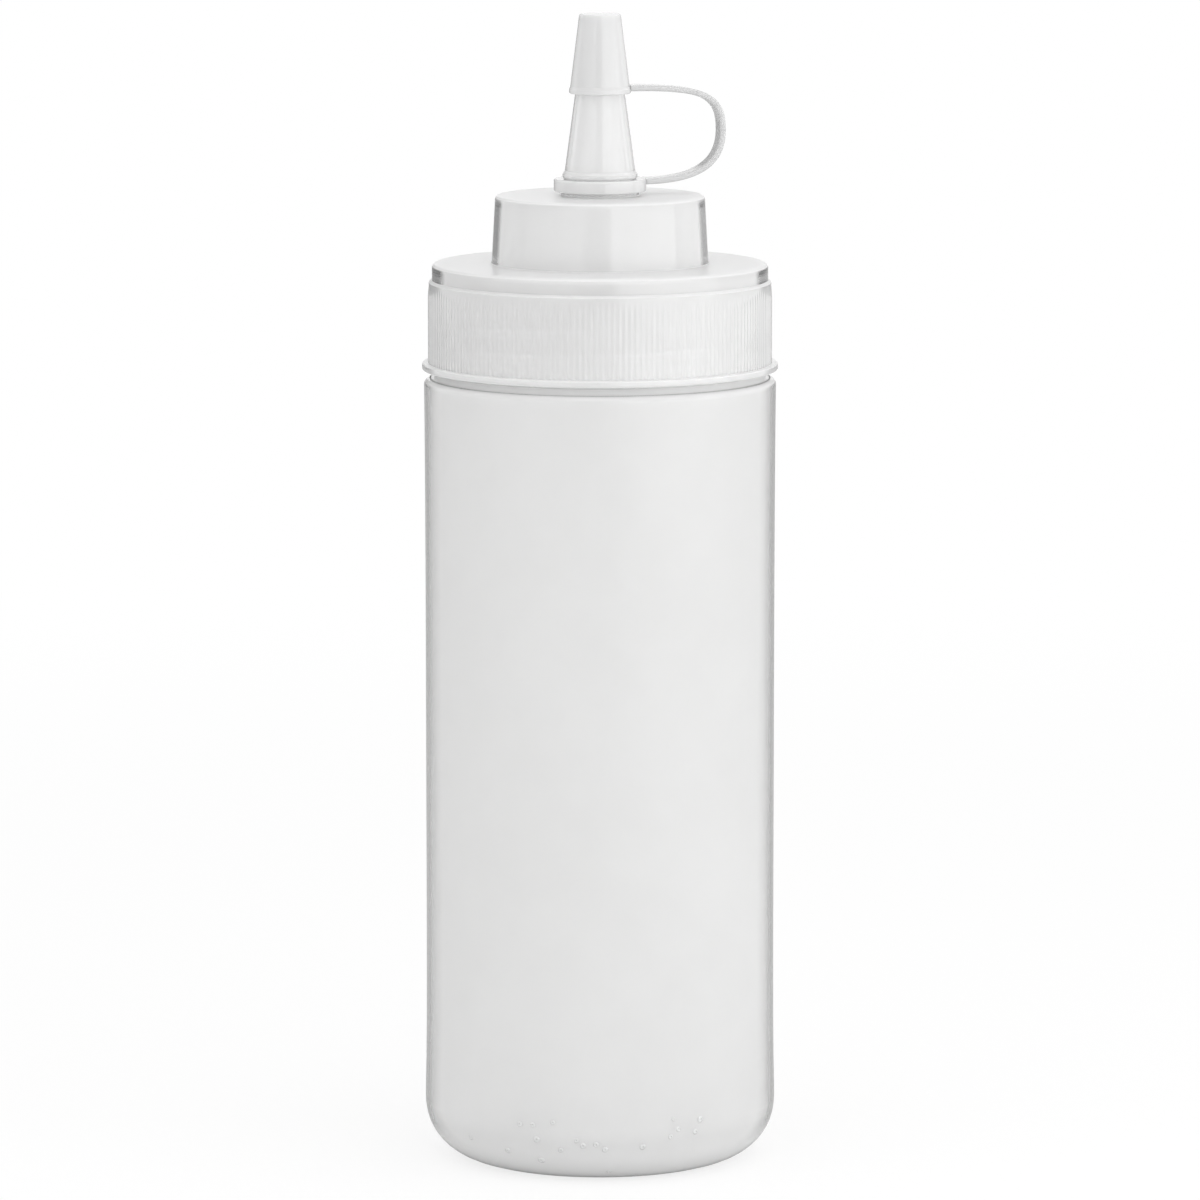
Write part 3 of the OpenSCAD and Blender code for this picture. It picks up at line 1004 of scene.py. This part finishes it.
@dataclass
class Tether:
    """Ring, strap loop and tip cap: one flexible moulding."""

    finish: MilkyPlastic = CAP_PLASTIC
    # The strap's finish is the cap's plastic with painted shade in its darker colour
    strap_finish: MilkyPlastic = STRAP_SHADED_PLASTIC
    ring_in_r: float = 7.35
    ring_r: float = 9.5
    ring_z: float = 201.05
    ring_top_z: float = 203.65
    cap_z: float = 221.1
    cap_top_z: float = 237.4
    cap_in_z: float = 236.3
    rim_r: float = 6.35
    strap_t: float = 1.2
    strap_w: float = 4.6
    strap_round: float = 0.42
    # Share by which the strap is wider at its roots, and the length over which that falls off
    root_spread: float = 0.22
    root_fall: float = 1.2
    # Length on both sides of a hinge at which the ends of the strap's bend are found
    bend_reach: float = 5.0
    overlap: float = 0.03
    # Cross sections for each share of the way
    strap_rows: int = 90
    # Points around the ring and the cap
    segments: int = 144
    # Handles of the centreline's two curves, by X and Z
    lower: tuple[tuple[float, float], ...] = (
        (9.1, 203.02), (21.7, 203.02), (25.5, 207.15), (25.5, 213.25))
    upper: tuple[tuple[float, float], ...] = (
        (25.5, 213.25), (25.5, 220.25), (22.15, 222.17), (5.95, 222.17))
    runs: tuple[StrapRun, ...] = (
        StrapRun("strap_root", 0.0, 0.45, "tether_ring", "strap_1", (11.274, 203.094), "strap_1"),
        StrapRun("strap_lower", 0.45, 1.0, "strap_1", "strap_2", (25.188, 210.484), "strap_2"),
        StrapRun("strap_crest", 1.0, 1.33, "strap_2", "strap_3", (25.119, 216.557), "strap_3"),
        StrapRun("strap_upper", 1.33, 1.6, "strap_3", "strap_4", (22.134, 220.182), "strap_4"),
        StrapRun("strap_cap_end", 1.6, 2.0, "strap_4", "tip_cap", (16.744, 221.673), ""))

    def route(self, share: np.ndarray) -> tuple[np.ndarray, np.ndarray]:
        """Centreline of the strap: two cubic Bezier curves, with their directions.

        A point is the sum of the four handles times the Bernstein weights of the share, and the
        direction is the sum of the handles' differences times the weights of the second degree.

        Args:
            share: shares of the way (n), 0 at the ring, 1 at the outermost point, 2 at the cap.
        Returns:
            Points (n, 2) and unit directions (n, 2) in the XZ plane.
        """
        upper = (share > 1)[:, None]
        t = np.where(share > 1, share - 1, share)[:, None]
        p = [np.where(upper, u, l) for l, u in zip(np.array(self.lower), np.array(self.upper))]
        s = 1 - t
        point = s ** 3 * p[0] + 3 * s ** 2 * t * p[1] + 3 * s * t * t * p[2] + t ** 3 * p[3]
        way = s ** 2 * (p[1] - p[0]) + 2 * s * t * (p[2] - p[1]) + t * t * (p[3] - p[2])
        return point, way / np.linalg.norm(way, axis=1, keepdims=True)

    def section(self) -> np.ndarray:
        """Cross section of the strap: a rounded rectangle.

        Returns:
            Points (n, 2) of thickness and width, clockwise.
        """
        t, w = self.strap_t / 2, self.strap_w / 2
        corners = [Corner(-t, -w, self.strap_round), Corner(t, -w, self.strap_round),
                   Corner(t, w, self.strap_round), Corner(-t, w, self.strap_round)]
        return rounded(corners, closed=True, hold=0.05)[::-1]

    def strap(self, run: StrapRun, material: bpy.types.Material) -> bpy.types.Object:
        """One run of the strap: the cross section carried along the route, closed at both ends.

        The width spreads near the ring and the cap by a share that falls off exponentially.

        Args:
            run: which run.
            material: the strap's material.
        Returns:
            The object.
        """
        rows = max(12, math.ceil((run.end - run.start) * self.strap_rows))
        share = np.linspace(run.start, run.end, rows)
        point, way = self.route(share)
        if run.start > 0:
            point[0] -= way[0] * self.overlap
        if run.end < 2:
            point[-1] += way[-1] * self.overlap
        root = np.exp(-np.abs(point[:, 0] - self.ring_r) / self.root_fall) * (share < 0.5)
        root = root + np.exp(-np.abs(point[:, 0] - self.rim_r) / self.root_fall) * (share > 1.5)
        width = 1 + self.root_spread * root[:, None]
        thick, wide = self.section().T
        x = point[:, :1] - way[:, 1:] * thick
        z = point[:, 1:] + way[:, :1] * thick
        skin = Skin()
        ids = skin.add(np.stack([x, wide * width, z], -1))
        skin.quads(ids)
        skin.cap(ids[0], reverse=True)
        skin.cap(ids[-1], reverse=False)
        return skin.piece(run.name, material, crease=50.0)

    def bend(self, piece: bpy.types.Object, run: StrapRun) -> None:
        """Finds the points at the bend's reach on both sides of a run's hinge, as far as the run
        goes, but does not bend the run between its two bodies: it only bakes the run's transform
        and hides its node.

        Args:
            piece: the run's object.
            run: which run.
        """
        point, _ = self.route(np.linspace(run.start, run.end, 400))
        way = np.concatenate([[0], np.cumsum(np.hypot(*np.diff(point, axis=0).T))])
        way = way - way[np.argmin(np.hypot(*(point - np.array(run.hinge)).T))]
        first, last = (point[np.argmin(np.abs(way - reach))] * MM
                       for reach in (-self.bend_reach, self.bend_reach))
        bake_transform(piece)
        if run.node:
            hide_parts(run.node)
        log.info("%s bends between %s and %s", piece.name, run.low_body, run.high_body)

    def ring(self, material: bpy.types.Material) -> bpy.types.Object:
        """Tether ring: a turned closed section with rounded edges.

        Args:
            material: the tether's material.
        Returns:
            The object.
        """
        line = rounded([
            Corner(self.ring_in_r, self.ring_z, 0.25), Corner(self.ring_r, self.ring_z, 0.35),
            Corner(self.ring_r, self.ring_top_z, 0.35),
            Corner(self.ring_in_r, self.ring_top_z, 0.25),
        ], closed=True, arc_step=11.25, hold=0.1)
        skin = Skin()
        angles = np.arange(self.segments) * TURN / self.segments
        skin.quads(skin.add(turned(line, angles)), wrap_rows=True)
        return skin.piece("tether_collar", material)

    def cap(self, material: bpy.types.Material) -> bpy.types.Object:
        """Tip cap: a turned wall from the pole of its hollow, round the rim, to the pole on top.

        Args:
            material: the tether's material.
        Returns:
            The object.
        """
        line = rounded([
            Corner(0, self.cap_in_z), Corner(3.4, self.cap_in_z, 0.8), Corner(5.06, 222.5, 0.8),
            Corner(5.25, self.cap_z, 0.2), Corner(self.rim_r, self.cap_z, 0.3),
            Corner(self.rim_r, self.cap_z + 0.9, 0.2), Corner(6.1, self.cap_z + 1.5, 0.5),
            Corner(4.25, self.cap_top_z, 0.3), Corner(0, self.cap_top_z),
        ], closed=False, arc_step=11.25, hold=0.1)
        skin = Skin()
        angles = np.arange(self.segments) * TURN / self.segments
        ids = skin.add(turned(line[1:-1], angles))
        skin.quads(ids)
        skin.pole((0, 0, line[0, 1]), ids[0], first=True)
        skin.pole((0, 0, line[-1, 1]), ids[-1], first=False)
        return skin.piece("tip_cap_shell", material)

    def build(self) -> None:
        """Builds the ring, the strap's runs and the cap, and settles the ring and the cap."""
        material = self.finish.material()
        settle(self.ring(material), "tether_ring", ["tether_ring"])
        strap_material = self.strap_finish.material()
        for run in self.runs:
            self.bend(self.strap(run, strap_material), run)
        settle(self.cap(material), "tip_cap", ["tip_cap"])


@dataclass(frozen=True)
class Softbox:
    """Rectangular studio lamp that faces the bottle.

    Its azimuth is in degrees from the camera, positive to the right, and its lengths in metres.
    """

    name: str
    azimuth: float
    height: float
    distance: float
    width: float
    length: float
    radiance: float


@dataclass
class Studio:
    """Camera, lamps, surroundings and floor."""

    # Camera: turn about the bottle and tilt in degrees, place in metres, lens and film in mm
    view_turn: float = 13.0
    tilt: float = 8.09
    distance: float = 1.518
    eye: float = 0.332
    lens: float = 222.3
    film: float = 36.0
    clip: tuple[float, float] = (0.05, 50.0)
    # Lamps, and the height that they point at
    lamps: tuple[Softbox, ...] = (
        Softbox("softbox_right", 50.0, 0.35, 1.2, 2.0, 1.1, 1.55),
        Softbox("softbox_left", -52.0, 0.35, 1.2, 1.75, 1.1, 0.72))
    lamp_aim: float = 0.12
    # What matt surfaces see: the plain fill, the top, and the heights over which it begins
    fill: float = 0.46
    top: float = 1.0
    top_edges: tuple[float, float] = (0.2, 0.9)
    # What gloss and clear plastic see: the left and right flag, and the dark room in front
    flags: tuple[float, float] = (0.38, 0.60)
    front: float = 0.15
    # Squares of the sine of the angle off the view at which the dark flags begin and end
    flag_start: tuple[float, float] = (0.015, 0.035)
    flag_end: tuple[float, float] = (0.30, 0.50)
    # Shares of a direction across and along the view at which left turns right and front turns back
    side_edges: tuple[float, float] = (-0.05, 0.05)
    behind_edges: tuple[float, float] = (-0.2, 0.3)
    # Floor: radius, distances between which it fades, the share of light in what the camera sees
    # near the bottle, and the tone that the bottle sees
    floor_r: float = 1.6
    fade: tuple[float, float] = (0.30, 0.85)
    floor_share: float = 0.25
    floor_tone: float = 0.68
    floor_rings: int = 12
    floor_segments: int = 96

    def forward(self) -> Vector:
        """Level direction from the camera to the bottle."""
        turn = math.radians(self.view_turn)
        return Vector((math.sin(turn), math.cos(turn), 0))

    def camera(self) -> None:
        """Camera at the photograph's viewing angle, tilted down, without a lens shift."""
        data = bpy.data.cameras.new("camera")
        data.sensor_width, data.lens = self.film, self.lens
        data.clip_start, data.clip_end = self.clip
        camera = bpy.data.objects.new("camera", data)
        camera.location = -self.forward() * self.distance + Vector((0, 0, self.eye))
        tilt = math.radians(self.tilt)
        look = self.forward() * math.cos(tilt) - Vector((0, 0, math.sin(tilt)))
        camera.rotation_mode = "QUATERNION"
        camera.rotation_quaternion = look.to_track_quat("-Z", "Y")
        bpy.context.scene.collection.objects.link(camera)
        bpy.context.scene.camera = camera

    def lamp(self, box: Softbox) -> None:
        """One softbox. Its power is pi times its radiance and its area.

        Args:
            box: the lamp.
        """
        data = bpy.data.lights.new(box.name, "AREA")
        data.shape, data.size, data.size_y = "RECTANGLE", box.width, box.length
        data.energy = box.radiance * math.pi * box.width * box.length
        lamp = bpy.data.objects.new(box.name, data)
        turn = math.radians(box.azimuth - self.view_turn)
        away = Vector((math.sin(turn), -math.cos(turn), 0))
        lamp.location = away * box.distance + Vector((0, 0, box.height))
        aim = Vector((0, 0, self.lamp_aim)) - lamp.location
        lamp.rotation_mode = "QUATERNION"
        lamp.rotation_quaternion = aim.to_track_quat("-Z", "Y")
        lamp.visible_camera = False
        bpy.context.scene.collection.objects.link(lamp)

    def surroundings(self) -> None:
        """White behind the bottle for the camera, a plain fill that is stronger from above for
        matt surfaces, and for what gloss and clear plastic show a lit backdrop between two dark
        flags, which draw the edges of clear walls.

        The flags' share is the product of two smooth steps of the square of how far a direction
        lies across the view, and one of how far it lies along it. The top's share is a smooth
        step of the height.
        """
        world = bpy.data.worlds.new("studio")
        bpy.context.scene.world = world
        world.use_nodes = True
        tree = Tree(world.node_tree)
        direction = tree.node("ShaderNodeTexCoord", out="Generated")
        forward = self.forward()
        across, along, high = (
            tree.node("ShaderNodeVectorMath", {"operation": "DOT_PRODUCT"},
                      {0: direction, 1: way}, out="Value")
            for way in ((forward.y, -forward.x, 0.0), tuple(forward), (0.0, 0.0, 1.0)))
        off = across * across
        flag = tree.smooth(off, *self.flag_start) * (1 - tree.smooth(off, *self.flag_end))
        behind = tree.smooth(along, *self.behind_edges)
        left, right = self.flags
        tone = left + tree.smooth(across, *self.side_edges) * (right - left)
        seen = behind * (1 - flag * (1 - tone)) + (1 - behind) * self.front
        fill = self.fill + tree.smooth(high, *self.top_edges) * (self.top - self.fill)
        gloss, matt, plain = (
            tree.node("ShaderNodeBackground", {}, {"Color": WHITE, "Strength": strength})
            for strength in (seen, fill, 1.0))
        diffuse_ray = tree.node("ShaderNodeLightPath", out="Is Diffuse Ray")
        camera_ray = tree.node("ShaderNodeLightPath", out="Is Camera Ray")
        tree.finish("ShaderNodeOutputWorld",
                    tree.mix(camera_ray, tree.mix(diffuse_ray, gloss, matt), plain))

    def floor(self) -> None:
        """White floor: a flat disk of rings, with one face in the middle.

        The camera sees it keep the bottle's shadow and fade into the white surroundings by a
        smooth step of the distance. The bottle sees a plain pale one.
        """
        skin = Skin()
        rings = np.linspace(0.02, 1, self.floor_rings)[:, None] * self.floor_r / MM
        line = np.hstack([rings, 0 * rings])[::-1]
        ids = skin.add(turned(line, np.arange(self.floor_segments) * TURN / self.floor_segments))
        skin.quads(ids)
        skin.cap(ids[-1], reverse=False)
        material, tree = new_material("floor_white")
        spot = tree.node("ShaderNodeVectorMath", {"operation": "LENGTH"},
                         {0: tree.place((1.0, 1.0, 0.0))}, out="Value")
        far = tree.smooth(spot, *self.fade)
        matt = tree.node("ShaderNodeBsdfDiffuse", {}, {"Color": (*(self.floor_tone,) * 3, 1)})
        bright = tree.node("ShaderNodeBsdfDiffuse", {}, {"Color": WHITE})
        glow = tree.node("ShaderNodeEmission", {}, {"Color": WHITE, "Strength": 1.0})
        seen = tree.mix(far, tree.mix(self.floor_share, glow, bright), glow)
        camera_ray = tree.node("ShaderNodeLightPath", out="Is Camera Ray")
        tree.finish("ShaderNodeOutputMaterial", tree.mix(camera_ray, matt, seen))
        skin.piece("floor", material)

    def build(self) -> None:
        """Builds the studio."""
        self.camera()
        for box in self.lamps:
            self.lamp(box)
        self.surroundings()
        self.floor()
        bpy.context.scene.view_settings.view_transform = "Standard"
        log.info("studio with %d lamps", len(self.lamps))


def main() -> None:
    """Builds the bottle, the lid, the seal, the tether with its cap and the studio, in order."""
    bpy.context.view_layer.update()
    for assembly in (Bottle(), Lid(), SealRing(), Tether(), Studio()):
        log.info("building %s", type(assembly).__name__)
        assembly.build()


if __name__ == "__main__":
    logging.basicConfig(level=logging.INFO, format="%(name)s: %(message)s")
    main()
